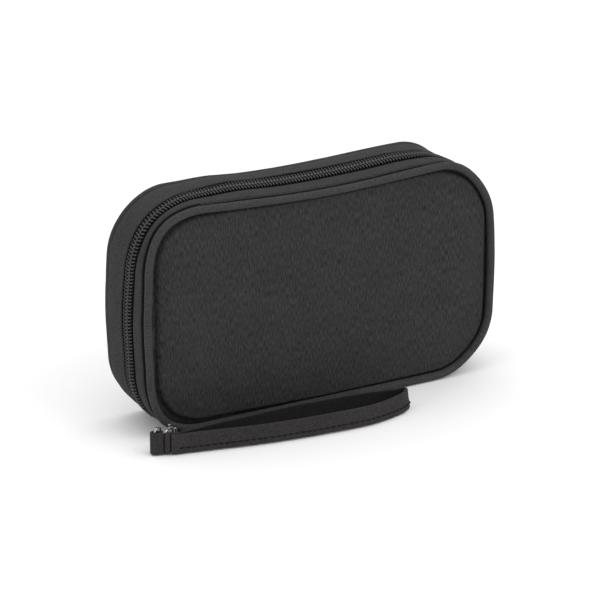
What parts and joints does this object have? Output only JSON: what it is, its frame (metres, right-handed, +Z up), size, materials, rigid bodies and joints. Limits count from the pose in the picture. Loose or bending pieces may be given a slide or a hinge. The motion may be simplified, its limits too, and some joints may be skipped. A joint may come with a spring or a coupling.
{
  "type": "cable organizer pouch",
  "caption": "Zipped fabric case for cables: two piped shells hinged along the base, a side zip, inner pockets and elastic loops, and a clip-on wrist strap.",
  "frame": {"origin": "on the resting plane under the middle of the case's length and of its depth, on the rear shell's base wall", "axes": "+X along the case's length, -Y out of the front cover, +Z up"},
  "size_m": [0.2017, 0.0755, 0.1097],
  "materials": {
    "shell": "fine black polyester weave",
    "piping": "black bias binding over cord",
    "stiffener": "grey foam board",
    "lining": "plain black lining cloth",
    "zipper_tape": "black woven zip tape",
    "zipper_coil": "black nylon coil",
    "mesh": "black knitted net",
    "elastic": "black woven elastic",
    "strap": "folded and stitched black polyester",
    "nickel": "nickel plate",
    "black_metal": "black enamel"
  },
  "bodies": {
    "rear_shell": {"rear_panel": "shell", "rear_stiffener": "stiffener", "rear_lining": "lining", "rear_piping": "piping", "rear_gusset": "shell", "rear_zipper_tape": "zipper_tape", "rear_zipper_coil": "zipper_coil", "spine_seam": "piping", "slip_pocket": "lining", "elastic_loops": "elastic"},
    "front_cover": {"front_panel": "shell", "front_stiffener": "stiffener", "front_lining": "lining", "front_piping": "piping", "front_gusset": "shell", "front_zipper_tape": "zipper_tape", "front_zipper_coil": "zipper_coil", "mesh_pocket": "mesh", "mesh_pocket_binding": "elastic", "corner_tab": "strap", "tab_ring": "nickel"},
    "slider": {"zipper_slider": "black_metal"},
    "puller": {"zipper_puller": "black_metal"},
    "clasp": {"clasp_hook": "nickel"},
    "clasp_gate": {"clasp_trigger": "nickel"},
    "clasp_eye": {"clasp_eye": "nickel"},
    "strap": {"strap_end_loop": "strap", "strap_keeper": "strap", "strap_band": "strap"}
  },
  "joints": [
    {"name": "lid_hinge", "type": "hinge", "parent": "rear_shell", "child": "front_cover", "pos_m": [0, -0.0028, 0], "axis": [1, 0, 0], "range_deg": [0, 170]},
    {"name": "slider_travel", "type": "slide", "parent": "rear_shell", "child": "slider", "axis": [0, 0, 1], "range_m": [0, 0.035]},
    {"name": "puller_flip", "type": "hinge", "parent": "slider", "child": "puller", "pos_m": [0.09775, -0.0028, 0.038], "axis": [0, -1, 0], "range_deg": [0, 175]},
    {"name": "clasp_swing", "type": "hinge", "parent": "front_cover", "child": "clasp", "pos_m": [-0.08846, -0.0282, 0.0063], "axis": [0, 0, 1], "range_deg": [-6, 2]},
    {"name": "clasp_gate", "type": "hinge", "parent": "clasp", "child": "clasp_gate", "pos_m": [-0.09004, -0.0289, 0.00926], "axis": [-0.4067, 0.9135, 0], "range_deg": [0, 20], "stiffness_Nm_per_rad": 0.02, "springref_deg": -17.19},
    {"name": "clasp_swivel", "type": "hinge", "parent": "clasp", "child": "clasp_eye", "pos_m": [-0.0997, -0.0332, 0.0063], "axis": [0.9135, 0.4067, 0], "range_deg": [-25, 0]},
    {"name": "strap_turn", "type": "hinge", "parent": "clasp_eye", "child": "strap", "pos_m": [-0.0997, -0.0332, 0.0063], "axis": [0, 0, 1], "range_deg": [-70, 3]}
  ]
}
